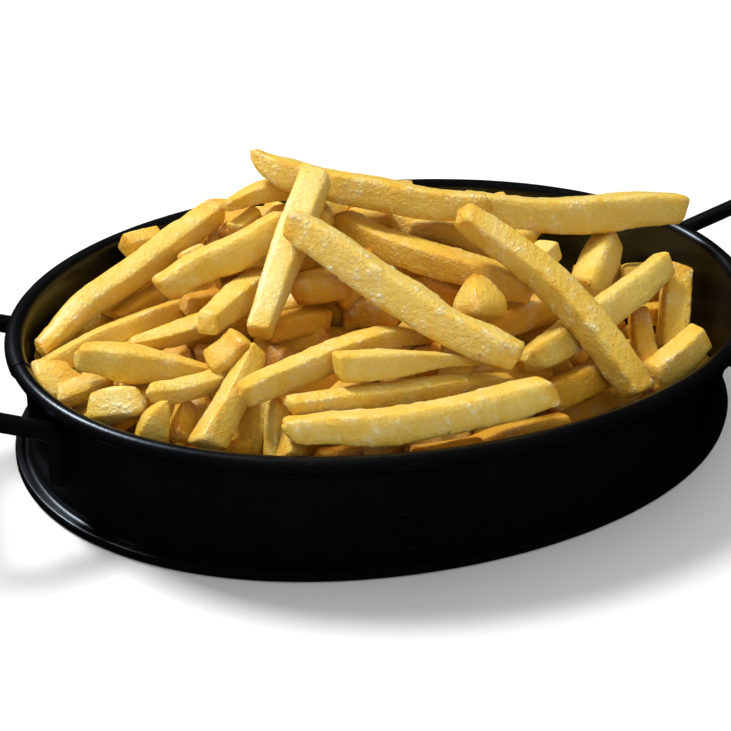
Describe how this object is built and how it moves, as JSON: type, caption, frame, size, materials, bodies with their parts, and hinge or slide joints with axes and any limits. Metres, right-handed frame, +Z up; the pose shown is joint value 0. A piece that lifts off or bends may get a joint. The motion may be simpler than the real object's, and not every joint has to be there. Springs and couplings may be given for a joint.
{
  "type": "french fries portion",
  "caption": "Heaped portion of thick-cut fried potato sticks in an oval black metal serving tin with a rolled rim, a crimped base and a wire handle at each end.",
  "frame": {"origin": "centre of the tin's flat underside, which is the bottom centre of the whole", "axes": "+X along the tin's long axis through both wire handles, +Y to the back, +Z up"},
  "size_m": [0.2965, 0.1468, 0.0766],
  "materials": {
    "black_tin": "satin black enamel over pressed sheet steel",
    "black_wire": "satin black enamel over steel wire",
    "fried_potato": null
  },
  "bodies": {
    "root": {"tin_wall": "black_tin", "tin_base": "black_tin", "handle_left": "black_wire", "handle_right": "black_wire", "fries_heap": "fried_potato"}
  },
  "joints": []
}
